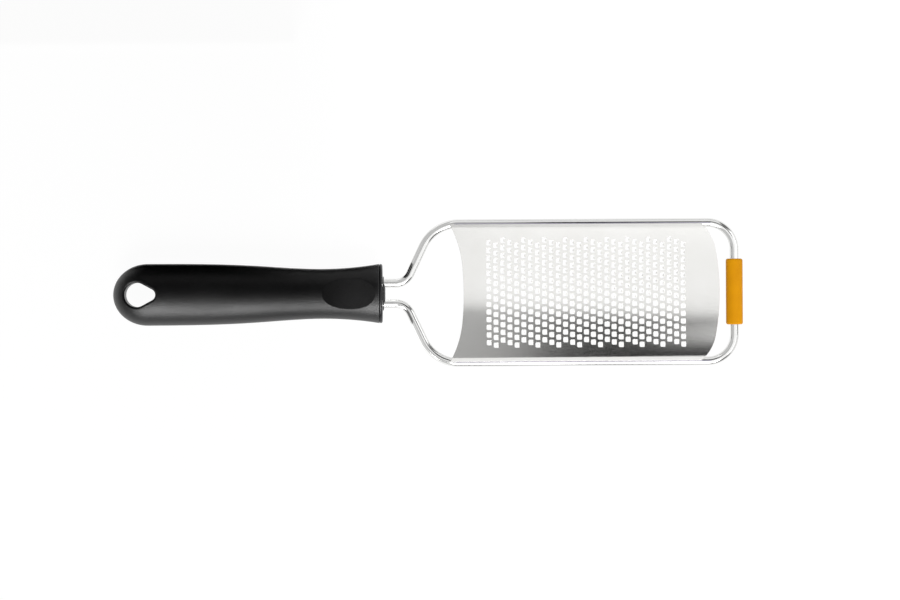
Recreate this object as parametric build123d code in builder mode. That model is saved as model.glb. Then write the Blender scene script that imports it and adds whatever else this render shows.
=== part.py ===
"""Rasp zester: a moulded handle, one bent wire frame and a perforated, trough-shaped rasp sheet.

Millimetres. +X runs from the handle to the front end, +Z is up, and the teeth face up.
The origin is the middle of the foot print: the tool lies on z = 0 with the belly of its
handle and with the soft sleeve at its front end.
"""

import os
from math import asin, cos, degrees, pi, radians, sin, tan

from build123d import *

# Handle: an oval grip, given by its widths in plan and one thickness at the belly
handle_length = 118.2
belly_width = 27.4
belly_thickness = 19.6
waist_width = 22.1
swell_width = 24.6
front_width = 26.3
waist_distance = 25.5
swell_distance = 50.0
butt_length = 15.4

# Hanging hole: a teardrop whose small end points to the front
hang_hole_width = 10.8
hang_tip_width = 5.4
hang_hole_distance = 10.8
hang_tip_distance = 16.5
hang_rim_radius = 0.8

# Thumb rest: a shallow scallop across the top, near the front
thumb_distance = 15.4
thumb_depth = 1.4
thumb_radius = 36.0

# Front cap: a plug that closes the handle and holds the wire
flange_thickness = 1.4
flange_rim_radius = 0.6
spigot_width = 16.0
spigot_depth = 9.0
spigot_lead = 0.8
collar_width = 1.0
collar_height = 0.6
block_width = 6.2
block_height = 16.8
block_depth = 1.2
block_bevel = 0.7

# Wire frame: one bent wire, both ends inside the handle
wire_diameter = 4.0
neck_spacing = 9.1
neck_length = 5.9
neck_bend_radius = 7.1
splay_angle = 64.7
shoulder_radius = 17.4
frame_width = 61.6
front_corner_radius = 12.0
frame_reach = 156.7
tang_length = 36.0

# Soft sleeve on the front cross bar
sleeve_diameter = 7.5
sleeve_length = 29.3
sleeve_end_radius = 0.9

# Rasp sheet: places along the frame are measured from the face of the front cap
sheet_thickness = 0.5
sheet_start = 36.1
sheet_end = 150.2
edge_setback = 0.3
lip_width = 1.3
lip_bend_radius = 4.5
trough_angle = 12.0
rear_crown_radius = 126.0
rear_crown_half_width = 12.8
rear_side_radius = 44.8
front_crown_radius = 102.5
front_crown_half_width = 19.0
front_side_radius = 19.7

# Rasp holes and their teeth: columns run across the sheet, each shifted against the last
hole_side = 2.25
column_pitch = 3.092
row_pitch = 3.405
column_count = 29
row_count = 14
first_column = 47.3
stagger_steps = (0, -1, 1)
stagger_parts = 3
tooth_width = 1.75
tooth_height = 0.75
root_margin = 0.06
root_sink = 0.05

# Fits
wire_fit = 0.05
plug_fit = 0.1
weld_gap = 0.05
tang_end_gap = 1.0
cut_overrun = 5.0

# Places that follow from the sizes
axis_height = belly_thickness / 2
section_share = belly_thickness / belly_width
frame_slope = degrees(asin((axis_height - sleeve_diameter / 2) / frame_reach))
frame_run = frame_reach * cos(radians(frame_slope))
overall_length = handle_length + flange_thickness + frame_run + sleeve_diameter / 2
seat_x = handle_length - overall_length / 2
face_x = seat_x + flange_thickness
neck_half = neck_spacing / 2
frame_half = frame_width / 2

# Working planes: the handle is drawn towards the rear, the frame slopes down to its front end
handle_plane = Plane(origin=(seat_x, 0, axis_height), x_dir=(-1, 0, 0), z_dir=(0, 0, 1))
seat_plane = Plane(origin=(seat_x, 0, axis_height), x_dir=(0, 1, 0), z_dir=(1, 0, 0))
face_plane = seat_plane.offset(flange_thickness)
frame_x = Vector(cos(radians(frame_slope)), 0, -sin(radians(frame_slope)))
frame_z = Vector(sin(radians(frame_slope)), 0, cos(radians(frame_slope)))
frame_plane = Plane(origin=(face_x, 0, axis_height), x_dir=frame_x, z_dir=frame_z)
bore_plane = Plane(origin=(face_x, 0, axis_height), x_dir=(0, 1, 0), z_dir=frame_x)
bore_end_plane = bore_plane.offset(-tang_length - tang_end_gap)

os.makedirs("parts", exist_ok=True)


def save(piece, name):
    """Label a finished piece, write it under its own name and print its volume."""
    piece.part.label = name
    export_step(piece.part, f"parts/{name}.step")
    print(name, "solids", len(piece.part.solids()), "volume", round(piece.part.volume, 1))


# Handle: half the plan outline, with the socket for the front cap in its front end, is turned
# about the handle's axis, and the turned body is pressed to an oval
with BuildPart() as handle:
    socket_depth = spigot_depth + plug_fit
    socket_half = spigot_width / 2 + plug_fit
    rear_centre = (handle_length - butt_length, 0)
    front_point = (0, front_width / 2)
    waist_point = (waist_distance, waist_width / 2)
    swell_point = (swell_distance, swell_width / 2)
    belly_point = (handle_length - butt_length, belly_width / 2)
    with BuildSketch(handle_plane):
        with BuildLine():
            Polyline((socket_depth, 0), (socket_depth, socket_half), (0, socket_half), front_point)
            Spline(front_point, waist_point, swell_point, belly_point,
                   tangents=((waist_distance, waist_width - front_width), (1, 0)))
            EllipticalCenterArc(rear_centre, butt_length, belly_width / 2, start_angle=0, arc_size=90)
            Line((handle_length, 0), (socket_depth, 0))
        make_face()
    revolve(axis=Axis(handle_plane.origin, (1, 0, 0)))
    scale(by=(1, 1, section_share), about=handle_plane.origin)

    # The scallop for the thumb is a slice of a wide cylinder that lies across the handle
    thumb_floor = waist_width / 2 * section_share - thumb_depth
    with BuildSketch(Plane.XZ.offset(-belly_width)):
        with Locations((seat_x - thumb_distance, axis_height + thumb_floor + thumb_radius)):
            Circle(thumb_radius)
    extrude(amount=2 * belly_width, mode=Mode.SUBTRACT)

    # Teardrop hole, right through, with a rounded rim on both faces
    with BuildSketch(handle_plane.offset(-belly_thickness)):
        with Locations((handle_length - hang_hole_distance, 0)):
            Circle(hang_hole_width / 2)
        with Locations((handle_length - hang_tip_distance, 0)):
            Circle(hang_tip_width / 2)
        make_hull()
    extrude(amount=2 * belly_thickness, mode=Mode.SUBTRACT)
    hang_rims = handle.edges(Select.LAST).filter_by(Axis.Z, reverse=True)
    fillet(hang_rims, hang_rim_radius)

    # A blind bore for each end of the wire, deeper than the socket
    with BuildSketch(bore_end_plane):
        with Locations((-neck_half, 0), (neck_half, 0)):
            Circle(wire_diameter / 2 + wire_fit)
    extrude(amount=tang_length + tang_end_gap, mode=Mode.SUBTRACT)
save(handle, "handle")

# Front cap: an oval flange with a spigot behind it, a collar round each wire and a bevelled block
# between the two wires
with BuildPart() as front_cap:
    with BuildSketch(seat_plane):
        Ellipse(front_width / 2, front_width / 2 * section_share)
    extrude(amount=flange_thickness)
    fillet(front_cap.faces().sort_by(Axis.X)[-1].edges(), flange_rim_radius)
    with BuildSketch(seat_plane):
        Ellipse(spigot_width / 2, spigot_width / 2 * section_share)
    extrude(amount=-spigot_depth)
    chamfer(front_cap.faces().sort_by(Axis.X)[0].edges(), spigot_lead)
    with BuildSketch(face_plane):
        with Locations((-neck_half, 0), (neck_half, 0)):
            Circle(wire_diameter / 2 + collar_width)
    extrude(amount=collar_height)
    with BuildSketch(face_plane):
        Rectangle(block_width, block_height)
    extrude(amount=block_depth)
    block_face = front_cap.faces().sort_by(Axis.X)[-1]
    chamfer(block_face.edges().filter_by(Axis.Y), block_bevel)
    with BuildSketch(bore_end_plane):
        with Locations((-neck_half, 0), (neck_half, 0)):
            Circle(wire_diameter / 2 + wire_fit)
    extrude(amount=tang_length + cut_overrun, mode=Mode.SUBTRACT)
save(front_cap, "front_cap")

# Wire frame: one round wire swept along straight runs and bends in the frame's own plane
with BuildPart() as frame_wire:
    splay = radians(splay_angle)
    bend_x = neck_length + neck_bend_radius * tan(splay / 2)
    shoulder_x = bend_x + (frame_half - neck_half) / tan(splay)
    half_corners = [(-tang_length, neck_half), (bend_x, neck_half), (shoulder_x, frame_half),
                    (frame_reach, frame_half)]
    half_bends = [neck_bend_radius, shoulder_radius, front_corner_radius]
    corners = half_corners + [(x, -y) for x, y in reversed(half_corners)]
    with BuildLine(frame_plane) as wire_path:
        FilletPolyline(*corners, radius=half_bends + half_bends[::-1])
    with BuildSketch(bore_plane.offset(-tang_length)):
        with Locations((neck_half, 0)):
            Circle(wire_diameter / 2)
    sweep(path=wire_path.wire())
save(frame_wire, "frame_wire")
wire_length = wire_path.wire().length
wire_section = pi * wire_diameter ** 2 / 4
print("wire length", round(wire_length, 1), "section times length", round(wire_section * wire_length, 1))

# Sleeve: a soft tube pushed over the middle of the cross bar
with BuildPart() as grip_sleeve:
    sleeve_end = frame_plane.location * Location((frame_reach, -sleeve_length / 2, 0))
    with BuildSketch(Plane(origin=sleeve_end.position, x_dir=frame_x, z_dir=(0, 1, 0))):
        Circle(sleeve_diameter / 2)
        Circle(wire_diameter / 2 + wire_fit, mode=Mode.SUBTRACT)
    extrude(amount=sleeve_length)
    outer_rims = grip_sleeve.edges().filter_by(GeomType.CIRCLE).sort_by(SortBy.RADIUS)[-2:]
    fillet(outer_rims, sleeve_end_radius)
save(grip_sleeve, "grip_sleeve")

# Rasp sheet: its section across the frame is a flat lip on each wire, a bend and a wide trough
sheet_half = frame_half - edge_setback
lip_half = sheet_half - lip_width
lip_height = wire_diameter / 2 + weld_gap
trough_rise = radians(trough_angle)
under_radius = (lip_half - lip_bend_radius * sin(trough_rise)) / sin(trough_rise)
trough_centre = lip_height - lip_bend_radius + (lip_bend_radius + under_radius) * cos(trough_rise)


def section_line(rise):
    """Draw the sheet's section, raised by rise above its underside, from +Y to -Y."""
    bend_radius = lip_bend_radius + rise
    bend_y = lip_half - bend_radius * sin(trough_rise)
    bend_z = lip_height - lip_bend_radius + bend_radius * cos(trough_rise)
    lip_z = lip_height + rise
    fall = (-cos(trough_rise), -sin(trough_rise))
    climb = (-cos(trough_rise), sin(trough_rise))
    Line((sheet_half, lip_z), (lip_half, lip_z))
    TangentArc((lip_half, lip_z), (bend_y, bend_z), tangent=(-1, 0))
    Spline((bend_y, bend_z), (0, trough_centre - under_radius + rise), (-bend_y, bend_z),
           tangents=(fall, climb))
    TangentArc((-lip_half, lip_z), (-bend_y, bend_z), tangent=(1, 0))
    Line((-lip_half, lip_z), (-sheet_half, lip_z))


def end_curve(apex, crown_radius, crown_half_width, side_radius):
    """Draw half of a curved end of the sheet, from its apex out to the wire, and return its tip."""
    crown_angle = asin(crown_half_width / crown_radius)
    side_sine = sin(crown_angle) + (frame_half - crown_half_width) / side_radius
    side_angle = asin(side_sine) - crown_angle
    crown = JernArc((apex, 0), (0, 1), crown_radius, degrees(crown_angle))
    side = JernArc(crown @ 1, crown % 1, side_radius, degrees(side_angle))
    return side @ 1


# Each hole has its own place, and its tooth stands square to the trough there
hole_places = []
tooth_places = []
top_radius = under_radius - sheet_thickness
for column in range(column_count):
    shift = stagger_steps[column % len(stagger_steps)] * row_pitch / stagger_parts
    hole_x = first_column + column * column_pitch
    for row in range(row_count):
        hole_y = (row - (row_count - 1) / 2) * row_pitch + shift
        slope = asin(hole_y / top_radius)
        tooth_z = trough_centre - top_radius * cos(slope)
        hole_places.append((hole_x, hole_y))
        tooth_places.append(Location((hole_x, hole_y, tooth_z), (degrees(slope), 0, 0)))

# Tooth: a beak that grows from the front wall of its hole, leans back and ends over the hole
with BuildPart() as tooth:
    root_plane = Plane(origin=(hole_side / 2 + root_sink, 0, 0), x_dir=(0, 1, 0), z_dir=(1, 0, 0))
    with BuildSketch(root_plane) as tooth_root:
        with BuildLine():
            Polyline((-tooth_width / 2, -root_margin), (tooth_width / 2, -root_margin),
                     (0, root_margin - sheet_thickness), close=True)
        make_face()
    loft([tooth_root.sketch, Vertex(0, 0, tooth_height)])

with BuildPart(frame_plane) as rasp_sheet:
    with BuildSketch(bore_plane):
        with BuildLine():
            section_line(0)
            section_line(sheet_thickness)
            for edge_y in (-sheet_half, sheet_half):
                Line((edge_y, lip_height), (edge_y, lip_height + sheet_thickness))
        make_face()
    extrude(amount=frame_reach)
    with BuildSketch(frame_plane.offset(-frame_half)):
        with BuildLine():
            rear_tip = end_curve(sheet_start, rear_crown_radius, rear_crown_half_width,
                                 rear_side_radius)
            front_tip = end_curve(sheet_end, front_crown_radius, front_crown_half_width,
                                  front_side_radius)
            Line(rear_tip, front_tip)
            mirror(about=Plane.XZ)
        make_face()
    extrude(amount=frame_width, mode=Mode.INTERSECT)
    with BuildSketch(frame_plane.offset(-frame_half)):
        with Locations(*hole_places):
            Rectangle(hole_side, hole_side)
    extrude(amount=frame_width, mode=Mode.SUBTRACT, clean=False)
    with Locations(*tooth_places):
        add(tooth.part, clean=False)
save(rasp_sheet, "rasp_sheet")
print("holes", len(hole_places), "each with its tooth")
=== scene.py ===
# %% [markdown]
# # A rasp zester on a white studio table
# The tool has five parts: a black moulded handle, a black plug in its front end, one bent
# steel wire that makes the whole frame, a thin steel sheet full of raised teeth, and an
# orange rubber sleeve that keeps the front end from slipping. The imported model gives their
# places and sizes, and this lesson gives each of them its real surface and its small forms.

from math import asin, atan2, ceil, cos, degrees, hypot, pi, radians, sin, tan

import bpy
import numpy as np
from mathutils import Matrix, Vector, geometry


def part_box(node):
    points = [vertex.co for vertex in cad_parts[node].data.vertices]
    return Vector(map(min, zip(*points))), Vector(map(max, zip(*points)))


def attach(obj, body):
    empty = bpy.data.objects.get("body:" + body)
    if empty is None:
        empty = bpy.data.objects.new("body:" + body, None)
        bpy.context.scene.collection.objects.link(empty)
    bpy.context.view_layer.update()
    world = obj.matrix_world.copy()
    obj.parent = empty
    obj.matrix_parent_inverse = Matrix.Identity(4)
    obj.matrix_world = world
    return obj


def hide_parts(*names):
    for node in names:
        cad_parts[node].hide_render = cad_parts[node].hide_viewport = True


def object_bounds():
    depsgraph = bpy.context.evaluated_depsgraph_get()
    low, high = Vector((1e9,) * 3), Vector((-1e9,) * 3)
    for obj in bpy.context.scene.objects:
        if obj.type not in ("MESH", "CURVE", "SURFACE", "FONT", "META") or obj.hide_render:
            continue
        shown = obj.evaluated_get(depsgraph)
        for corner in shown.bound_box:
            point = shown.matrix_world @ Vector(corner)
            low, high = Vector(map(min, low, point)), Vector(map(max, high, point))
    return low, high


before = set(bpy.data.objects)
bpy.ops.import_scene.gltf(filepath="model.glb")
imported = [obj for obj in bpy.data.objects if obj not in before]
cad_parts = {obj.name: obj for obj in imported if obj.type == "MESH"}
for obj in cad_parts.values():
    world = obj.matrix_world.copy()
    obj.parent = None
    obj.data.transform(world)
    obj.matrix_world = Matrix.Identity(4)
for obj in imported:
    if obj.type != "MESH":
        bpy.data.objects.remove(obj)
cad_box = [list(corner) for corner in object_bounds()]
MM = 0.001
print("nodes", sorted(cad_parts))
print("box in mm", [[round(v / MM, 1) for v in corner] for corner in cad_box])

# %% [markdown]
# ## Where the frame lies
# The wire frame isn't level. It leaves the handle at the height of the handle's axis and
# comes down to the rubber sleeve, which rests on the table. Every metal part is drawn in
# the frame's own flat plane, so one change of axes places all of them. Its origin is the
# face of the front plug, +u runs forward along the frame, +v to the left and +w upward.
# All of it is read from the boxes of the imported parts, so nothing has to be fitted later.

# %% Axes of the wire frame
wire_radius = 2.0
handle_low, handle_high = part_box("handle")
cap_low, cap_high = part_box("front_cap")
sleeve_low, sleeve_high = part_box("grip_sleeve")
flange_thickness = 1.4
axis_height = (handle_low.z + handle_high.z) / 2
face_x = handle_high.x + flange_thickness * MM
sleeve_centre = (sleeve_low + sleeve_high) / 2
frame_reach = hypot(sleeve_centre.x - face_x, axis_height - sleeve_centre.z) / MM
slope = atan2(axis_height - sleeve_centre.z, sleeve_centre.x - face_x)
along = Vector((cos(slope), 0, -sin(slope)))
across = Vector((0, 1, 0))
upward = Vector((sin(slope), 0, cos(slope)))
face_point = Vector((face_x, 0, axis_height))
print("frame reach", round(frame_reach, 2), "mm, slope", round(degrees(slope), 3), "degrees")


def place(points):
    """Turn rows of u, v, w in millimetres into world points in metres."""
    axes = np.array([along, across, upward])
    return np.asarray(points, float) @ axes * MM + np.array(face_point)


def turn(directions):
    """Turn rows of directions from the frame's axes to the world's."""
    return np.asarray(directions, float) @ np.array([along, across, upward])


# %% [markdown]
# ## Small helpers
# Each hand-made part is a list of points and a list of faces. One helper turns them into an
# object that rides on the model and hides the plain solid that it stands for. Where a
# surface has to mirror cleanly, exact normals are given as well: a mirror shows every small
# error of a normal, long before the eye sees an error of the shape.

# %% Helper that makes one part
def make_part(name, points, faces, material, node, normals=None):
    """Build a smooth mesh object, with a normal for each face corner if normals are given."""
    mesh = bpy.data.meshes.new(name)
    mesh.from_pydata([tuple(p) for p in points], [], faces)
    mesh.update()
    mesh.shade_smooth()
    if normals is not None:
        mesh.normals_split_custom_set([tuple(n) for n in normals])
    part = bpy.data.objects.new(name, mesh)
    bpy.context.scene.collection.objects.link(part)
    mesh.materials.append(material)
    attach(part, "root")
    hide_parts(node)
    print(name, "points", len(mesh.vertices), "faces", len(mesh.polygons))
    return part


# %% [markdown]
# ## Materials as node graphs
# All finishes here are procedural: noise in the part's own space drives small changes of
# roughness and height. A helper makes the shader and one more adds a noise, so that each
# material below reads as a short recipe.

# %% Helpers for materials
def new_material(name, colour, metallic, roughness, specular=0.5):
    """Start a material and return it with its tree and its main shader."""
    material = bpy.data.materials.new(name)
    material.use_nodes = True
    tree = material.node_tree
    shader = tree.nodes["Principled BSDF"]
    shader.inputs["Base Color"].default_value = (*colour, 1)
    shader.inputs["Metallic"].default_value = metallic
    shader.inputs["Roughness"].default_value = roughness
    shader.inputs["Specular IOR Level"].default_value = specular
    return material, tree, shader


def add_noise(tree, scale, stretch=(1, 1, 1), detail=3.0, source="Object"):
    """Add a noise in the part's own metres and return its value."""
    place_node = tree.nodes.new("ShaderNodeTexCoord")
    mapping = tree.nodes.new("ShaderNodeMapping")
    mapping.inputs["Scale"].default_value = stretch
    noise = tree.nodes.new("ShaderNodeTexNoise")
    noise.inputs["Scale"].default_value = scale
    noise.inputs["Detail"].default_value = detail
    tree.links.new(place_node.outputs[source], mapping.inputs["Vector"])
    tree.links.new(mapping.outputs["Vector"], noise.inputs["Vector"])
    return noise.outputs["Fac"]


def spread(tree, value, low, high, start=0.3, end=0.7):
    """Stretch a noise value to run from low to high."""
    node = tree.nodes.new("ShaderNodeMapRange")
    node.inputs["From Min"].default_value = start
    node.inputs["From Max"].default_value = end
    node.inputs["To Min"].default_value = low
    node.inputs["To Max"].default_value = high
    tree.links.new(value, node.inputs["Value"])
    return node.outputs["Result"]


def add_bump(tree, shader, value, height, strength=1.0):
    """Let a value raise the surface by up to height, in metres."""
    bump = tree.nodes.new("ShaderNodeBump")
    bump.inputs["Distance"].default_value = height
    bump.inputs["Strength"].default_value = strength
    tree.links.new(value, bump.inputs["Height"])
    tree.links.new(bump.outputs["Normal"], shader.inputs["Normal"])
    return bump


def round_edges(tree, bump, radius):
    """Let light see every sharp edge as a small rounding, as a moulded edge has."""
    bevel = tree.nodes.new("ShaderNodeBevel")
    bevel.samples = 6
    bevel.inputs["Radius"].default_value = radius
    tree.links.new(bevel.outputs["Normal"], bump.inputs["Normal"])


def blend_colours(tree, value, first, second):
    """Mix two colours by a value and return the result."""
    mix = tree.nodes.new("ShaderNodeMix")
    mix.data_type = "RGBA"
    mix.inputs["A"].default_value = (*first, 1)
    mix.inputs["B"].default_value = (*second, 1)
    tree.links.new(value, mix.inputs["Factor"])
    return mix.outputs["Result"]


# %% [markdown]
# ## Black handle plastic
# The handle is moulded in a tool with a fine matt finish. Its highlight is broad and a
# little speckled, because the finish is a field of pits about half a millimetre wide.
# A bump from a fine noise makes that speckle. A second, wide noise changes the roughness,
# as thumbs and washing do on a real handle. A bevel node lets the light see each sharp edge
# as a small rounding, which costs no faces.

# %% Handle plastic
def make_handle_plastic():
    material, tree, shader = new_material("handle_plastic", (0.003, 0.003, 0.003), 0, 0.40, 0.85)
    grain = add_noise(tree, 2100, detail=2)
    wear = add_noise(tree, 55, detail=4)
    tree.links.new(spread(tree, wear, 0.37, 0.43), shader.inputs["Roughness"])
    tint = blend_colours(tree, spread(tree, grain, 0, 1), (0.0022, 0.0022, 0.0026),
                         (0.0038, 0.0038, 0.0042))
    tree.links.new(tint, shader.inputs["Base Color"])
    bump = add_bump(tree, shader, grain, 0.00010, 0.9)
    round_edges(tree, bump, 0.0005)
    return material


def make_cap_plastic():
    material, tree, shader = new_material("cap_plastic", (0.0060, 0.0058, 0.0070), 0, 0.30)
    grain = add_noise(tree, 1800, detail=2)
    tree.links.new(spread(tree, grain, 0.26, 0.34), shader.inputs["Roughness"])
    bump = add_bump(tree, shader, grain, 0.00002, 0.5)
    round_edges(tree, bump, 0.0003)
    return material


handle_plastic = make_handle_plastic()
cap_plastic = make_cap_plastic()
print("plastics", handle_plastic.name, cap_plastic.name)

# %% [markdown]
# ## Drawn wire and rolled sheet
# Both metals are stainless steel, but they are made in different ways. The wire is drawn
# through a die, which leaves it bright with faint lines along its length. The sheet is cold
# rolled, so its grain runs one way across the whole blank and softens its reflections.
# Long thin noise makes those lines: it is squeezed along one axis and stretched on the other.
# Where the sheet is welded to the wire, the wire's colour is painted darker and bluish in a thin line
# beside the seam: painted shade for the crease where the two meet.

# %% Steels
def make_wire_steel():
    material, tree, shader = new_material("wire_steel", (0.82, 0.82, 0.81), 1, 0.12)
    lines = add_noise(tree, 1.0, stretch=(25, 4000, 1), detail=3, source="UV")
    tree.links.new(spread(tree, lines, 0.08, 0.15), shader.inputs["Roughness"])
    # Painted shade: a thin dark bluish line on the wire along the seam where the sheet rests on it.
    painted_seam_shade = tree.nodes.new("ShaderNodeAttribute")
    painted_seam_shade.attribute_name = "painted_seam_shade"
    tint = blend_colours(tree, painted_seam_shade.outputs["Fac"], (0.82, 0.82, 0.81), (0.42, 0.40, 0.48))
    tree.links.new(tint, shader.inputs["Base Color"])
    add_bump(tree, shader, lines, 0.000004, 0.35)
    return material


def make_sheet_steel():
    material, tree, shader = new_material("sheet_steel", (0.78, 0.78, 0.77), 1, 0.16)
    lines = add_noise(tree, 1.0, stretch=(60, 5200, 5200), detail=3)
    clouds = add_noise(tree, 70, detail=3)
    tree.links.new(spread(tree, lines, 0.13, 0.19), shader.inputs["Roughness"])
    tint = blend_colours(tree, spread(tree, clouds, 0, 1), (0.775, 0.770, 0.750), (0.800, 0.796, 0.780))
    tree.links.new(tint, shader.inputs["Base Color"])
    add_bump(tree, shader, lines, 0.000003, 0.3)
    return material


wire_steel = make_wire_steel()
sheet_steel = make_sheet_steel()
print("steels", wire_steel.name, sheet_steel.name)

# %% [markdown]
# ## Orange sleeve rubber
# The sleeve is a soft silicone. It has a dull skin, a very fine texture from its mould, and
# wide soft clouds of a lighter and a darker orange.

# %% Sleeve rubber
def make_sleeve_rubber():
    material, tree, shader = new_material("sleeve_rubber", (0.62, 0.255, 0.0), 0, 0.60, 0.10)
    grain = add_noise(tree, 2200, detail=2)
    clouds = add_noise(tree, 120, detail=3)
    tint = blend_colours(tree, spread(tree, clouds, 0, 1), (0.59, 0.240, 0.0), (0.65, 0.275, 0.0))
    tree.links.new(tint, shader.inputs["Base Color"])
    tree.links.new(spread(tree, grain, 0.44, 0.56), shader.inputs["Roughness"])
    add_bump(tree, shader, grain, 0.00003, 0.5)
    return material


sleeve_rubber = make_sleeve_rubber()
print("rubber", sleeve_rubber.name)

# %% [markdown]
# ## The handle
# The solid of the handle already has its true oval shape, the thumb rest and the teardrop
# hole, so it stays and only changes its finish.

# %% Finish the handle
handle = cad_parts["handle"]
handle.data.materials.clear()
handle.data.materials.append(handle_plastic)
print("handle faces", len(handle.data.polygons))

# %% [markdown]
# ## The front plug
# What shows of the plug is an oval flange with soft edges, a raised ring round each wire and
# an upright block between them. The flange's rear edge is rounded too, so a fine dark groove
# runs between it and the handle, as it does wherever two mouldings meet.

# %% Shapes of the plug
seat_x = handle_high.x
flange_half = (cap_high.y - cap_low.y) / 2 / MM
flange_half_height = (cap_high.z - cap_low.z) / 2 / MM
cap_reach = (cap_high.x - seat_x) / MM
oval_sides = 96
collar_sides = 48
neck_spacing = 9.1
block_half = 3.1
block_bevel = 0.12
crease_angle = radians(38)


def ring_loft(rings, first_index, close_start, close_end):
    """Join rings of equal size with quads and close the ends where asked."""
    sides = len(rings[0])
    faces = []
    for i in range(len(rings) - 1):
        for k in range(sides):
            n = (k + 1) % sides
            faces.append((first_index + i * sides + k, first_index + i * sides + n,
                          first_index + (i + 1) * sides + n, first_index + (i + 1) * sides + k))
    if close_start:
        faces.append(tuple(first_index + k for k in range(sides))[::-1])
    if close_end:
        faces.append(tuple(first_index + (len(rings) - 1) * sides + k for k in range(sides)))
    return faces


def flange_rings():
    """Rings of the flange from its rear face to the middle of its domed front."""
    rear = [(0.03, 0.90), (0.08, 0.50), (0.20, 0.20), (0.36, 0.05), (0.52, 0.0)]
    reach = flange_thickness
    edge = 0.80
    front = [(reach - edge + edge * sin(radians(a)), edge * (1 - cos(radians(a))))
             for a in range(0, 91, 15)]
    dome = [(reach + 0.06, 1.6), (reach + 0.12, 3.2), (reach + 0.16, 5.5), (reach + 0.18, 8.0)]
    angles = 2 * pi * np.arange(oval_sides) / oval_sides
    rings = []
    for x, inset in rear + front + dome:
        rings.append(np.stack([np.full(oval_sides, x), (flange_half - inset) * np.cos(angles),
                               (flange_half_height - inset) * np.sin(angles)], 1))
    return rings


def collar_rings(side):
    """Rings of one raised collar, turned round its wire."""
    profile = [(1.2, 3.0), (1.72, 3.0), (1.86, 2.95), (1.96, 2.8), (2.0, 2.6), (1.97, 2.3),
               (1.88, 2.08), (1.2, 2.05)]
    angles = 2 * pi * np.arange(collar_sides) / collar_sides
    centre = side * neck_spacing / 2
    return [np.stack([np.full(collar_sides, x), centre + r * np.cos(angles),
                      r * np.sin(angles)], 1) for x, r in profile]


def block_rings():
    """Sections of the upright block across the tool, a little smaller at both sides."""
    upper = [(0.70, 9.10), (1.60, 8.78), (1.80, 8.62), (2.45, 7.75), (cap_reach, 7.45)]
    profile = upper + [(x, -z) for x, z in reversed(upper)]
    inner = block_half - block_bevel
    rings = []
    for y, inset in ((-block_half, block_bevel), (-inner, 0), (inner, 0), (block_half, block_bevel)):
        rings.append(np.array([(x - inset * (x > 2), y, z - inset * np.sign(z)) for x, z in profile]))
    return rings


def make_plug():
    """Build the visible plug from its flange, two collars and the block."""
    shells = [(flange_rings(), True, True), (collar_rings(1), False, False),
              (collar_rings(-1), False, False), (block_rings(), True, True)]
    points = []
    faces = []
    count = 0
    for rings, close_start, close_end in shells:
        faces += ring_loft(rings, count, close_start, close_end)
        points += rings
        count += sum(len(ring) for ring in rings)
    rows = np.concatenate(points)
    world = rows * MM + np.array([seat_x, 0, axis_height])
    plug = make_part("front_plug", world, faces, cap_plastic, "front_cap")
    plug.data.set_sharp_from_angle(angle=crease_angle)


make_plug()

# %% [markdown]
# ## The wire frame
# One wire makes the whole frame: two tangs inside the handle, a short neck, two limbs that
# splay, two long sides and a cross bar. A tube along a path of straight runs and arcs is the
# shape that a bending tool gives. The path is found in the frame's plane, one corner after
# the other, and a ring of points is set square to it at every step.

# %% Path of the wire
tang_length = 36.0
neck_half = neck_spacing / 2
neck_length = 5.9
neck_bend_radius = 7.1
splay = radians(64.7)
shoulder_radius = 17.4
frame_half = 30.8
front_corner_radius = 12.0
arc_step = radians(2.0)
run_step = 12.0


def round_path(corners, radii):
    """Return points along a path whose inner corners are arcs, and the direction at each."""
    points = [np.array(corners[0])]
    directions = []
    for before, corner, after, radius in zip(corners, corners[1:], corners[2:], radii):
        before, corner, after = np.array(before), np.array(corner), np.array(after)
        into = (corner - before) / np.linalg.norm(corner - before)
        out = (after - corner) / np.linalg.norm(after - corner)
        cross = into[0] * out[1] - into[1] * out[0]
        angle = atan2(cross, into @ out)
        start = corner - into * radius * tan(abs(angle) / 2)
        side = np.array([-into[1], into[0]]) * np.sign(angle)
        centre = start + side * radius
        steps = max(2, ceil(abs(angle) / arc_step))
        for k in range(steps + 1):
            swept = angle * k / steps
            spoke = start - centre
            spun = np.array([spoke[0] * cos(swept) - spoke[1] * sin(swept),
                             spoke[0] * sin(swept) + spoke[1] * cos(swept)])
            heading = np.array([into[0] * cos(swept) - into[1] * sin(swept),
                                into[0] * sin(swept) + into[1] * cos(swept)])
            if not directions:
                directions.append(heading)
            points.append(centre + spun)
            directions.append(heading)
    points.append(np.array(corners[-1]))
    directions.append(directions[-1])
    return np.array(points), np.array(directions)


bend_u = neck_length + neck_bend_radius * tan(splay / 2)
shoulder_u = bend_u + (frame_half - neck_half) / tan(splay)
left_corners = [(-tang_length, neck_half), (bend_u, neck_half), (shoulder_u, frame_half),
                (frame_reach, frame_half)]
left_radii = [neck_bend_radius, shoulder_radius, front_corner_radius]
wire_corners = left_corners + [(u, -v) for u, v in reversed(left_corners)]
bent_points, bent_directions = round_path(wire_corners, left_radii + left_radii[::-1])
wire_points = [bent_points[0]]
wire_directions = [bent_directions[0]]
for start, end, heading in zip(bent_points, bent_points[1:], bent_directions[1:]):
    parts = max(1, int(np.linalg.norm(end - start) / run_step))
    wire_points += [start + (end - start) * k / parts for k in range(1, parts + 1)]
    wire_directions += [heading] * parts
wire_points = np.array(wire_points)
wire_directions = np.array(wire_directions)
print("wire path has", len(wire_points), "rings")

# %% Tube along the path
ring_sides = 80
end_round = 0.35
seam_start = 30.0
seam_end = 146.0
seam_low_degrees = 88
seam_high_degrees = 101


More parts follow.
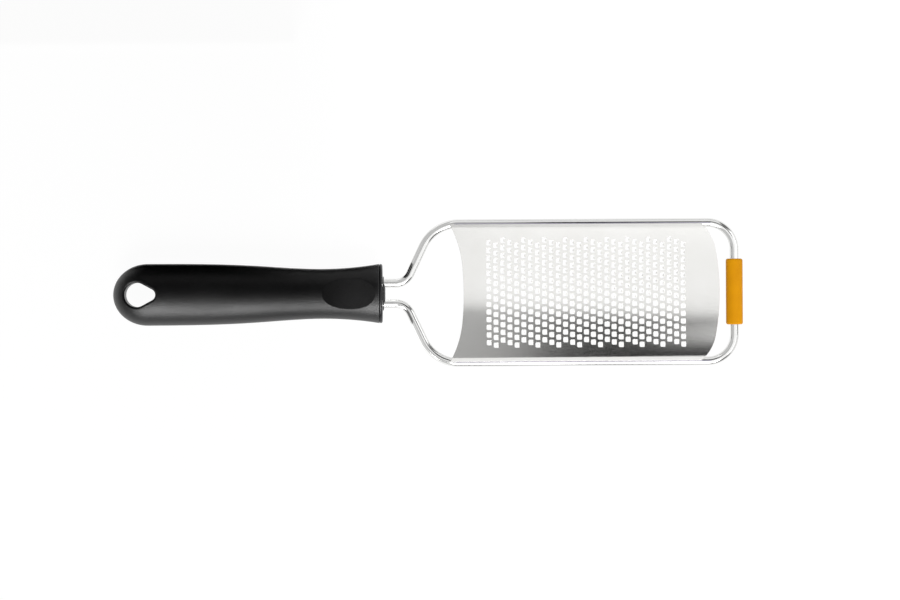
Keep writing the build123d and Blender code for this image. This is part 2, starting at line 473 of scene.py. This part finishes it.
def make_tube(name, points, directions, radius, material, node):
    """Sweep a round section along a flat path, with a small rounding at both cut ends."""
    rings = []
    for end, heading, sign in ((points[0], directions[0], 1), (points[-1], directions[-1], -1)):
        turned = [(end + sign * heading * end_round * (1 - sin(radians(a))), heading,
                   radius - end_round * (1 - cos(radians(a)))) for a in (90, 60, 30, 0)]
        rings.append(turned)
    inner = [(p, d, radius) for p, d in zip(points[1:-1], directions[1:-1])]
    rings = rings[0] + inner + rings[1][::-1]
    angles = 2 * pi * np.arange(ring_sides) / ring_sides
    rows = []
    lengths = []
    travelled = 0.0
    previous = rings[0][0]
    for point, heading, r in rings:
        centre = np.array([point[0], point[1], 0.0])
        side = np.array([-heading[1], heading[0], 0.0])
        rows.append(centre + r * (np.outer(np.cos(angles), side) + np.outer(np.sin(angles), (0, 0, 1))))
        travelled += float(np.linalg.norm(point - previous))
        previous = point
        lengths.append(travelled)
    count = len(rows)
    vertices = place(np.concatenate(rows))
    faces = []
    coordinates = []
    for i in range(count - 1):
        for k in range(ring_sides):
            n = (k + 1) % ring_sides
            faces.append((i * ring_sides + k, i * ring_sides + n,
                          (i + 1) * ring_sides + n, (i + 1) * ring_sides + k))
            turns = [k, k + 1, k + 1, k]
            places = [i, i, i + 1, i + 1]
            coordinates += [(lengths[j] * MM, 2 * pi * radius * MM * t / ring_sides)
                            for j, t in zip(places, turns)]
    faces.append(tuple(range(ring_sides))[::-1])
    faces.append(tuple((count - 1) * ring_sides + k for k in range(ring_sides)))
    coordinates += [(0, 0)] * (2 * ring_sides)
    part = make_part(name, vertices, faces, material, node)
    layer = part.data.uv_layers.new(name="route")
    layer.data.foreach_set("uv", np.array(coordinates, np.float32).ravel())
    # Painted shade: mark a thin line on each side wire beside the sheet's seam, which the wire's material
    # paints dark and bluish.
    flat_rings = np.array([ring[0] for ring in rings])
    on_side = (np.abs(np.abs(flat_rings[:, 1]) - frame_half) < 0.1) & (flat_rings[:, 0] > seam_start)
    on_side &= flat_rings[:, 0] < seam_end
    by_seam = (np.degrees(angles) > seam_low_degrees) & (np.degrees(angles) < seam_high_degrees)
    painted_seam_mask = np.outer(on_side, by_seam).astype(np.float32)
    part.data.attributes.new("painted_seam_shade", "FLOAT", "POINT").data.foreach_set("value", painted_seam_mask.ravel())


make_tube("bent_wire", wire_points, wire_directions, wire_radius, wire_steel,
          "frame_wire")

# %% [markdown]
# ## The rubber sleeve
# The sleeve is a length of tube pushed over the cross bar, with rounded rims. Turning one
# profile round the bar gives all of it, and its bore stays just clear of the wire.

# %% Turn the sleeve
sleeve_radius = 3.75
sleeve_length = 29.3
sleeve_bore = 2.05
rim_radius = 0.9
rim_steps = 6
bore_lead = 0.1
body_steps = 10
sleeve_sides = 64


def make_sleeve():
    """Turn the sleeve's closed profile round the cross bar."""
    half = sleeve_length / 2
    outer = []
    for k in range(rim_steps + 1):
        a = pi / 2 * k / rim_steps
        outer.append((-half + rim_radius * (1 - sin(a)), sleeve_radius - rim_radius * (1 - cos(a))))
    left = [(-half + bore_lead, sleeve_bore), (-half, sleeve_bore + bore_lead)]
    rim = [(v, r) for v, r in reversed(outer)]
    profile = left + rim
    body_length = sleeve_length - 2 * rim_radius
    for k in range(1, body_steps):
        profile.append((-half + rim_radius + body_length * k / body_steps, sleeve_radius))
    profile += [(-v, r) for v, r in reversed(rim)] + [(-v, r) for v, r in reversed(left)]
    angles = 2 * pi * np.arange(sleeve_sides) / sleeve_sides
    rows = [np.stack([frame_reach + r * np.cos(angles), np.full(sleeve_sides, v), r * np.sin(angles)], 1)
            for v, r in profile]
    count = len(rows)
    faces = []
    for i in range(count):
        j = (i + 1) % count
        for k in range(sleeve_sides):
            n = (k + 1) % sleeve_sides
            faces.append((i * sleeve_sides + k, i * sleeve_sides + n,
                          j * sleeve_sides + n, j * sleeve_sides + k))
    make_part("rubber_sleeve", place(np.concatenate(rows)), faces, sleeve_rubber,
              "grip_sleeve")


make_sleeve()

# %% [markdown]
# ## The rasp sheet: its section
# The blank is half a millimetre of steel. A flat lip lies on each side wire, then the sheet
# bends down and crosses the frame as one wide shallow trough, open to the top. The section
# is the same all along, so its height and slope follow from the distance to the middle.

# %% Section across the frame
sheet_thickness = 0.5
sheet_half = 30.5
lip_half = 29.2
lip_height = 2.05
lip_bend_radius = 4.5
trough_rise = radians(12.0)
under_radius = (lip_half - lip_bend_radius * sin(trough_rise)) / sin(trough_rise)
trough_centre = lip_height - lip_bend_radius + (lip_bend_radius + under_radius) * cos(trough_rise)


def section(v, depth):
    """Height and side slope of the sheet at v, at a depth below its top surface."""
    v = np.asarray(v, float)
    size = np.abs(v)
    bend_radius = lip_bend_radius + sheet_thickness - depth
    trough_radius = under_radius - sheet_thickness + depth
    bend_v = lip_half - bend_radius * sin(trough_rise)
    trough = trough_centre - np.sqrt(trough_radius ** 2 - size ** 2)
    trough_slope = size / np.sqrt(trough_radius ** 2 - size ** 2)
    inside = np.clip(lip_half - size, 0, bend_radius)
    bend = lip_height - lip_bend_radius + np.sqrt(bend_radius ** 2 - inside ** 2)
    bend_slope = inside / np.sqrt(bend_radius ** 2 - inside ** 2)
    height = np.where(size <= bend_v, trough, bend)
    rise = np.where(size <= bend_v, trough_slope, bend_slope) * np.sign(v)
    return height, rise


print("trough depth", round(float(section(30, 0)[0] - section(0, 0)[0]), 2), "mm")

# %% [markdown]
# ## The rasp sheet: its outline and its holes
# Both ends are cut in a curve, and the front one bows out between its corners. Each hole is
# punched as a C: the press cuts round a pointed tongue and lifts it, and the tongue is the
# tooth. So a hole and its tooth are one closed line, and the same line serves all of them.
# The columns step sideways by a third of a row, which keeps one tooth from running in the
# track of another.

# %% Outline of the blank
sheet_start = 36.1
sheet_end = 150.2
rear_crown = (126.0, 12.8, 44.8)
front_crown = (102.5, 19.0, 19.7)


def end_curve(apex, crown_radius, crown_half, side_radius, steps=22):
    """Points of half an end of the blank, from the middle out to the side edge."""
    crown_angle = asin(crown_half / crown_radius)
    points = []
    for k in range(steps + 1):
        a = crown_angle * k / steps
        points.append((apex - crown_radius * (1 - cos(a)), crown_radius * sin(a)))
    centre_u = apex - crown_radius * (1 - cos(crown_angle)) - side_radius * cos(crown_angle)
    centre_v = crown_half - side_radius * sin(crown_angle)
    last = asin((sheet_half - centre_v) / side_radius)
    for k in range(1, steps + 1):
        a = crown_angle + (last - crown_angle) * k / steps
        points.append((centre_u + side_radius * cos(a), centre_v + side_radius * sin(a)))
    return points


def sheet_outline():
    """The whole outline, counter-clockwise seen from above."""
    rear = end_curve(sheet_start, *rear_crown)
    front = end_curve(sheet_end, *front_crown)
    long_steps = 40
    side = [(front[-1][0] + (rear[-1][0] - front[-1][0]) * k / long_steps, sheet_half)
            for k in range(1, long_steps)]
    upper = front + side + rear[::-1]
    lower = [(u, -v) for u, v in reversed(upper)]
    return np.array(upper + lower[1:-1])


outline = sheet_outline()
print("outline points", len(outline))

# %% One hole and its tooth
hole_half = 1.13
hole_corner = 0.55
root_corner = 0.42
tongue_half = 0.80
tongue_tip = 0.02
flank_power = 1.7
tooth_height = 0.56
tooth_power = 1.25
roof_drop = 0.10
tooth_margin = 0.16
tooth_fade = 0.12
column_pitch = 3.092
row_pitch = 3.405
column_count = 29
row_count = 14
first_column = 47.3
last_column = first_column + (column_count - 1) * column_pitch
stagger = (0, -1, 1)


def corner_arc(centre, radius, start, end, steps):
    """Points of an arc from start to end, in degrees."""
    angles = np.radians(np.linspace(start, end, steps + 1))
    return [(centre[0] + radius * cos(a), centre[1] + radius * sin(a)) for a in angles]


def slot_line():
    """The C-shaped line of one hole, counter-clockwise, with its tongue pointing to -u."""
    h = hole_half
    line = corner_arc((h - root_corner, h - root_corner), root_corner, 12, 90, 3)
    line += corner_arc((-h + hole_corner, h - hole_corner), hole_corner, 90, 180, 4)
    line += corner_arc((-h + hole_corner, -h + hole_corner), hole_corner, 180, 270, 4)
    line += corner_arc((h - root_corner, -h + root_corner), root_corner, 270, 348, 3)
    flank = []
    for share in (0.0, 0.25, 0.5, 0.72, 0.9):
        flank.append((h - (h - tongue_tip) * share, -tongue_half * (1 - share ** flank_power)))
    line += flank + [(tongue_tip, 0.0)] + [(u, -v) for u, v in reversed(flank)]
    return np.array(line)


slot = slot_line()
print("points round one hole", len(slot))


def tooth_rise(u, v):
    """Height of a pressed tooth above the sheet, at a place seen from the middle of its hole."""
    share = np.clip((hole_half - u) / (hole_half - tongue_tip), 0, 1)
    ridge = tooth_height * share ** tooth_power
    width = tongue_half * (1 - share ** flank_power)
    roof = 1 - roof_drop * np.clip(np.abs(v) / tongue_half, 0, 1) ** 2
    fade = np.clip((width + tooth_margin - np.abs(v)) / tooth_fade, 0, 1)
    outside = fade * fade * (3 - 2 * fade)
    return ridge * roof * outside


# %% [markdown]
# ## The rasp sheet: one net of triangles
# The blank is flat before it is pressed, so the net is made flat too. A constrained
# triangulation takes the outline and all the hole lines and fills the steel between them.
# Then the net is lifted onto the section, once for the top and once for the underside, and
# narrow bands close the edges, with a small rounding that catches the light.

# %% Points of the flat net
edge_round = 0.07
net_step = 2.6
net_row = 3.0
bend_row = 25.4
lip_row = 29.8


def shrink(line, distance):
    """Move a closed counter-clockwise line inward by distance."""
    before = np.roll(line, 1, 0)
    after = np.roll(line, -1, 0)
    first = (line - before) / np.linalg.norm(line - before, axis=1)[:, None]
    second = (after - line) / np.linalg.norm(after - line, axis=1)[:, None]
    n1 = np.stack([-first[:, 1], first[:, 0]], 1)
    n2 = np.stack([-second[:, 1], second[:, 0]], 1)
    middle = n1 + n2
    middle /= np.linalg.norm(middle, axis=1)[:, None]
    stretch = np.clip((middle * n1).sum(1), 0.5, 1)
    return line + middle * (distance / stretch)[:, None]


hole_places = []
for column in range(column_count):
    shift = stagger[column % 3] * row_pitch / 3
    for row in range(row_count):
        hole_places.append((first_column + column * column_pitch,
                            (row - (row_count - 1) / 2) * row_pitch + shift))
hole_places = np.array(hole_places)
rim_line = shrink(slot, -edge_round)
tongue_points = np.array([(0.35, 0), (0.62, 0.15), (0.62, -0.15), (0.88, 0.38), (0.88, 0), (0.88, -0.38),
                          (1.08, 0.2), (1.08, -0.2), (1.12, 0.6), (1.12, -0.6), (1.25, 0.9), (1.25, 0.45),
                          (1.25, 0), (1.25, -0.45), (1.25, -0.9)])
print("holes", len(hole_places))


def flat_net():
    """Triangulate the blank and return its points, triangles and closed edge lines."""
    border = shrink(outline, edge_round)
    points = [border]
    lines = [np.arange(len(border))]
    count = len(border)
    for centre in hole_places:
        points.append(rim_line + centre)
        lines.append(count + np.arange(len(rim_line)))
        count += len(rim_line)
    for centre in hole_places:
        points.append(tongue_points + centre)
        count += len(tongue_points)
    bend_v = lip_half - (lip_bend_radius + sheet_thickness) * sin(trough_rise)
    rows = list(np.linspace(bend_row, bend_v, 3)) + list(np.linspace(bend_v, lip_half, 6))[1:]
    rows.append(lip_row)
    bend_lines = []
    for v in rows:
        rear_u = np.interp(v, *rear_edge())
        front_u = np.interp(v, *front_edge())
        us = np.linspace(rear_u + 0.15, front_u - 0.15, 60)
        for sign in (-1, 1):
            points.append(np.stack([us, np.full(len(us), sign * v)], 1))
            bend_lines += [(count + k, count + k + 1) for k in range(len(us) - 1)]
            count += len(us)
    for v in np.arange(-24, 24.1, net_row):
        rear_u = np.interp(abs(v), *rear_edge())
        front_u = np.interp(abs(v), *front_edge())
        us = np.concatenate([np.arange(rear_u + 1.2, first_column - 2.4, net_step),
                             np.arange(last_column + 3.2, front_u - 1.0, net_step)])
        points.append(np.stack([us, np.full(len(us), v)], 1))
        count += len(us)
    flat = np.concatenate(points)
    edges = bend_lines
    for line in lines:
        edges += list(zip(line.tolist(), np.roll(line, -1).tolist()))
    result = geometry.delaunay_2d_cdt([Vector(p) for p in flat], edges, [], 1, 1e-7)
    made, triangles = np.array([tuple(p) for p in result[0]]), result[2]
    print("net", len(flat), "points in,", len(made), "out,", len(triangles), "triangles")
    return made, triangles, result[3], lines


def rear_edge():
    """Side distance and place of the rear end, for interpolation."""
    points = np.array(end_curve(sheet_start, *rear_crown))
    return points[:, 1], points[:, 0]


def front_edge():
    """Side distance and place of the front end, for interpolation."""
    points = np.array(end_curve(sheet_end, *front_crown))
    return points[:, 1], points[:, 0]


made, triangles, origins, lines = flat_net()

# %% Lift the net onto the section
tip_margin = 0.06


def near_tooth(points):
    """Rise of the pressed teeth at flat points."""
    total = np.zeros(len(points))
    columns = np.rint((points[:, 0] - 0.3 - first_column) / column_pitch).astype(int)
    for step in (-1, 0, 1):
        column = np.clip(columns + step, 0, column_count - 1)
        used = columns + step == column
        shift = np.array(stagger)[column % 3] * row_pitch / 3
        row = np.rint((points[:, 1] - shift) / row_pitch + (row_count - 1) / 2)
        row = np.clip(row, 0, row_count - 1)
        u = points[:, 0] - first_column - column * column_pitch
        v = points[:, 1] - ((row - (row_count - 1) / 2) * row_pitch + shift)
        inside = used & (np.abs(v) < hole_half) & (u > tongue_tip - tip_margin) & (u < hole_half)
        total = np.maximum(total, np.where(inside, tooth_rise(u, v), 0))
    return total


def surface(points, depth):
    """World points and world normals of the sheet over flat points, at a depth."""
    step = 0.01
    height, rise = section(points[:, 1], depth)
    tooth = near_tooth(points)
    slope_u = (near_tooth(points + [step, 0]) - near_tooth(points - [step, 0])) / (2 * step)
    slope_v = (near_tooth(points + [0, step]) - near_tooth(points - [0, step])) / (2 * step)
    normals = np.stack([-slope_u, -(rise + slope_v), np.ones(len(points))], 1)
    normals /= np.linalg.norm(normals, axis=1)[:, None]
    local = np.stack([points[:, 0], points[:, 1], height + tooth], 1)
    return local, normals


def inside_line(point, line):
    """True where a flat point lies inside a closed line."""
    x, y = point
    a, b = line, np.roll(line, -1, 0)
    crosses = (a[:, 1] > y) != (b[:, 1] > y)
    with np.errstate(divide="ignore", invalid="ignore"):
        at = a[:, 0] + (y - a[:, 1]) / (b[:, 1] - a[:, 1]) * (b[:, 0] - a[:, 0])
    return bool(np.count_nonzero(crosses & (at > x)) % 2)


def make_sheet():
    """Build the pressed sheet: top, underside and rounded edges."""
    owner = np.full(len(made), -1)
    first = {}
    for new, old in enumerate(origins):
        for index in old:
            first[index] = new
    for number, line in enumerate(lines[1:]):
        for index in line:
            owner[first[int(index)]] = number
    kept = []
    for triangle in triangles:
        a, b, c = triangle
        if owner[a] >= 0 and owner[a] == owner[b] == owner[c]:
            middle = made[[a, b, c]].mean(0) - hole_places[owner[a]]
            if inside_line(middle, rim_line):
                continue
        corners = made[[a, b, c]]
        area = np.cross(corners[1] - corners[0], corners[2] - corners[0])
        if abs(area) < 1e-9:
            continue
        kept.append((a, b, c) if area > 0 else (a, c, b))
    top, top_normals = surface(made, 0)
    low, low_normals = surface(made, sheet_thickness)
    points = [top, low]
    corner_normals = []
    faces = []
    size = len(made)
    for a, b, c in kept:
        faces.append((a, b, c))
        corner_normals += [top_normals[a], top_normals[b], top_normals[c]]
        faces.append((size + a, size + c, size + b))
        corner_normals += [-low_normals[a], -low_normals[c], -low_normals[b]]
    count = 2 * size
    edge_lines = [(lines[0], outline, 1)] + [(line, slot + centre, -1)
                                             for line, centre in zip(lines[1:], hole_places)]
    for line, wall, side in edge_lines:
        rim = np.array([first[int(i)] for i in line])
        reach = len(wall)
        before, after = np.roll(wall, 1, 0), np.roll(wall, -1, 0)
        tangent = (after - before) / np.linalg.norm(after - before, axis=1)[:, None]
        outward = np.stack([tangent[:, 1], -tangent[:, 0], np.zeros(reach)], 1) * side
        upper, _ = surface(wall, edge_round)
        lower, _ = surface(wall, sheet_thickness - edge_round)
        points += [upper, lower]
        up, down = count + np.arange(reach), count + reach + np.arange(reach)
        count += 2 * reach
        bands = [(rim, up, top_normals[rim], outward), (up, down, outward, outward),
                 (down, size + rim, outward, -low_normals[rim])]
        for high, below, high_normals, below_normals in bands:
            for k in range(reach):
                n = (k + 1) % reach
                quad = (high[k], below[k], below[n], high[n])
                given = (high_normals[k], below_normals[k], below_normals[n], high_normals[n])
                if side < 0:
                    quad, given = quad[::-1], given[::-1]
                faces.append(tuple(int(i) for i in quad))
                corner_normals += list(given)
    world = place(np.concatenate(points))
    make_part("pressed_sheet", world, faces, sheet_steel, "rasp_sheet",
              turn(np.array(corner_normals)))


make_sheet()

# %% [markdown]
# ## The white table
# The photograph was taken from straight above on a white table. So the table is a pale plane
# that glows almost white to the camera and in mirrors, and keeps a faint soft shadow. For
# all other light it is a plain pale surface. Its underside is clear, so that the tool can
# be looked at from below too.

# %% White table
def make_table():
    """A wide plane, white to the camera and in reflections, that keeps a faint shadow."""
    half = 4.0
    mesh = bpy.data.meshes.new("table_top")
    corners = [(-half, -half, 0), (half, -half, 0), (half, half, 0), (-half, half, 0)]
    mesh.from_pydata(corners, [], [(0, 1, 2, 3)])
    table = bpy.data.objects.new("table_top", mesh)
    bpy.context.scene.collection.objects.link(table)
    table.location.z = cad_box[0][2] - 0.0001
    material = bpy.data.materials.new("table_white")
    material.use_nodes = True
    tree = material.node_tree
    tree.nodes.clear()
    output = tree.nodes.new("ShaderNodeOutputMaterial")
    plain = tree.nodes.new("ShaderNodeBsdfDiffuse")
    plain.inputs["Color"].default_value = (0.80, 0.80, 0.80, 1)
    seen = tree.nodes.new("ShaderNodeBsdfDiffuse")
    seen.inputs["Color"].default_value = (0.07, 0.07, 0.07, 1)
    glow = tree.nodes.new("ShaderNodeEmission")
    glow.inputs["Strength"].default_value = 0.965
    both = tree.nodes.new("ShaderNodeAddShader")
    path = tree.nodes.new("ShaderNodeLightPath")
    camera_or_gloss = tree.nodes.new("ShaderNodeMath")
    camera_or_gloss.operation = "MAXIMUM"
    or_glass = tree.nodes.new("ShaderNodeMath")
    or_glass.operation = "MAXIMUM"
    choose = tree.nodes.new("ShaderNodeMixShader")
    tree.links.new(path.outputs["Is Camera Ray"], camera_or_gloss.inputs[0])
    tree.links.new(path.outputs["Is Glossy Ray"], camera_or_gloss.inputs[1])
    tree.links.new(camera_or_gloss.outputs[0], or_glass.inputs[0])
    tree.links.new(path.outputs["Is Transmission Ray"], or_glass.inputs[1])
    tree.links.new(seen.outputs[0], both.inputs[0])
    tree.links.new(glow.outputs[0], both.inputs[1])
    tree.links.new(or_glass.outputs[0], choose.inputs["Fac"])
    tree.links.new(plain.outputs[0], choose.inputs[1])
    tree.links.new(both.outputs[0], choose.inputs[2])
    side = tree.nodes.new("ShaderNodeNewGeometry")
    clear = tree.nodes.new("ShaderNodeBsdfTransparent")
    one_sided = tree.nodes.new("ShaderNodeMixShader")
    tree.links.new(side.outputs["Backfacing"], one_sided.inputs["Fac"])
    tree.links.new(choose.outputs[0], one_sided.inputs[1])
    tree.links.new(clear.outputs[0], one_sided.inputs[2])
    tree.links.new(one_sided.outputs[0], output.inputs["Surface"])
    mesh.materials.append(material)
    print("table at", round(table.location.z / MM, 2), "mm")


make_table()

# %% [markdown]
# ## Soft lights
# A mirror shows its surroundings and not itself, so for steel the lights are the finish. A
# wide panel overhead makes the bright part of the trough, and the trough turns dark where
# that panel ends. A stronger panel to the front draws the long highlight on the handle.
# Smaller ones behind the tool and beyond its front end put bright lines on the wires. Each
# panel is given by the brightness of its face, so its size can change on its own.

# %% Lights
def add_panel(name, centre, target, size, radiance, turn_degrees=0.0):
    """A rectangular soft light that faces target, given by the brightness of its face."""
    light = bpy.data.lights.new(name, "AREA")
    light.shape = "RECTANGLE"
    light.size, light.size_y = size
    light.energy = radiance * pi * size[0] * size[1]
    lamp = bpy.data.objects.new(name, light)
    bpy.context.scene.collection.objects.link(lamp)
    lamp.location = centre
    heading = (Vector(target) - Vector(centre)).to_track_quat("-Z", "Y")
    lamp.rotation_mode = "QUATERNION"
    lamp.rotation_quaternion = heading @ Matrix.Rotation(radians(turn_degrees), 3, "Z").to_quaternion()
    lamp.visible_camera = False
    return lamp


panel_height = 0.55
front_angle = radians(46)
front_distance = 0.95
front_centre = (0.0, -front_distance * sin(front_angle), front_distance * cos(front_angle))
sheet_middle = (0.06, 0, 0)
# Each row: name, centre, target, size, brightness, turn in degrees
panels = [
    ("overhead_panel", (0.343, -0.228, panel_height), (0.343, -0.228, 0), (0.60, 0.66), 0.91, 13),
    ("fill_panel", (0.035, 0.20, panel_height), (0.035, 0.20, 0), (0.13, 0.27), 0.32, 0),
    ("glint_panel", (0.230, 0.135, panel_height), (0.230, 0.135, 0), (0.10, 0.06), 0.80, 0),
    ("front_panel", front_centre, (0, 0, 0), (1.0, 0.50), 6.6, 0),
    ("rear_panel", (0.11, 0.33, 0.20), sheet_middle, (0.40, 0.34), 0.72, 0),
    ("end_panel_rear", (0.44, 0.11, 0.20), sheet_middle, (0.24, 0.30), 1.35, 0),
    ("end_panel_front", (0.44, -0.13, 0.20), sheet_middle, (0.24, 0.30), 0.85, 0),
]
for panel in panels:
    lamp = add_panel(*panel)
    print(lamp.name, "watts", round(lamp.data.energy, 2))

# %% [markdown]
# ## Cards that shape the reflections
# Black plastic only looks black when nothing bright is mirrored in it. So black cards hang
# round the handle: one stands across the tool where the handle ends, with a low strip under
# it, one lies level above the handle, one stands behind it and one is over the dark side of
# the trough. The last lies beside the handle. It casts no shadow, which no real card could
# do: it takes the white table out of the handle's reflection and leaves the table white.
# The wires need the opposite, so the side of the upright card that faces them is covered
# with weak lights. The camera looks through all the cards.

# %% Cards
flag_height = 0.54
flag_low = 0.045
flag_edge = -0.022
flag_half = 0.45


def add_flag(name, corners):
    """A black card that keeps light off one place; the camera looks through it."""
    mesh = bpy.data.meshes.new(name)
    mesh.from_pydata(corners, [], [(0, 1, 2, 3)])
    card = bpy.data.objects.new(name, mesh)
    bpy.context.scene.collection.objects.link(card)
    material = bpy.data.materials.new(name)
    material.use_nodes = True
    shader = material.node_tree.nodes["Principled BSDF"]
    shader.inputs["Base Color"].default_value = (0.004, 0.004, 0.004, 1)
    shader.inputs["Roughness"].default_value = 0.9
    shader.inputs["Specular IOR Level"].default_value = 0.0
    mesh.materials.append(material)
    card.visible_camera = False
    return card


add_flag("upright_flag", [(flag_edge, -flag_half, flag_low), (flag_edge, flag_half, flag_low),
                          (flag_edge, flag_half, flag_height), (flag_edge, -flag_half, flag_height)])
add_flag("level_flag", [(-0.50, -0.06, flag_height), (flag_edge, -0.06, flag_height),
                        (flag_edge, 0.55, flag_height), (-0.50, 0.55, flag_height)])
add_flag("side_flag", [(-0.34, 0.11, 0.002), (-0.06, 0.11, 0.002),
                       (-0.06, 0.13, 0.11), (-0.34, 0.13, 0.11)])
add_flag("brow_flag", [(flag_edge, -0.012, 0.024), (flag_edge, flag_half, 0.024),
                       (flag_edge, flag_half, flag_low), (flag_edge, -0.012, flag_low)])
add_flag("dark_flag", [(0.10, 0.07, 0.56), (0.34, 0.12, 0.56),
                       (0.34, 0.42, 0.56), (0.10, 0.42, 0.56)])
near_flag = add_flag("near_flag", [(-0.150, 0.020, 0.001), (-0.024, 0.020, 0.001),
                                   (-0.024, 0.110, 0.003), (-0.150, 0.110, 0.003)])
near_flag.visible_shadow = False
near_flag.visible_diffuse = False

# %% Lit faces of the upright card and the light of the room
card_x = flag_edge + 0.002
card_radiance = 0.62
add_panel("card_face", (card_x, 0, 0.29), (1, 0, 0.29), (0.90, 0.49), card_radiance)
for word, side in (("rear", 1), ("front", -1)):
    add_panel("card_face_" + word, (card_x, side * 0.16, 0.025), (1, side * 0.16, 0.025),
              (0.28, 0.044), card_radiance)
world_strength = 0.18
world = bpy.data.worlds.new("studio")
bpy.context.scene.world = world
world.use_nodes = True
background = world.node_tree.nodes["Background"]
background.inputs["Color"].default_value = (1, 1, 1, 1)
background.inputs["Strength"].default_value = world_strength

# %% [markdown]
# ## Camera
# The lens is long and looks straight down. The picture is 400 mm wide at the object, and
# the tool lies about half a degree askew in it.

# %% Camera
picture_width = 400.0
picture_centre = (9.57, -3.05)
lens = 180.0
sensor = 36.0
camera_roll = radians(-0.34)
camera_distance = picture_width * lens / sensor
object_height = 8.0
camera_data = bpy.data.cameras.new("studio_camera")
camera_data.lens = lens
camera_data.sensor_width = sensor
camera = bpy.data.objects.new("studio_camera", camera_data)
bpy.context.scene.collection.objects.link(camera)
camera.location = (picture_centre[0] * MM, picture_centre[1] * MM, (camera_distance + object_height) * MM)
camera.rotation_euler = (0, 0, camera_roll)
camera_data.clip_start = 0.05
camera_data.clip_end = 50
bpy.context.scene.camera = camera
bpy.context.scene.view_settings.view_transform = "Standard"
print("camera at", round(camera.location.z, 3), "m")
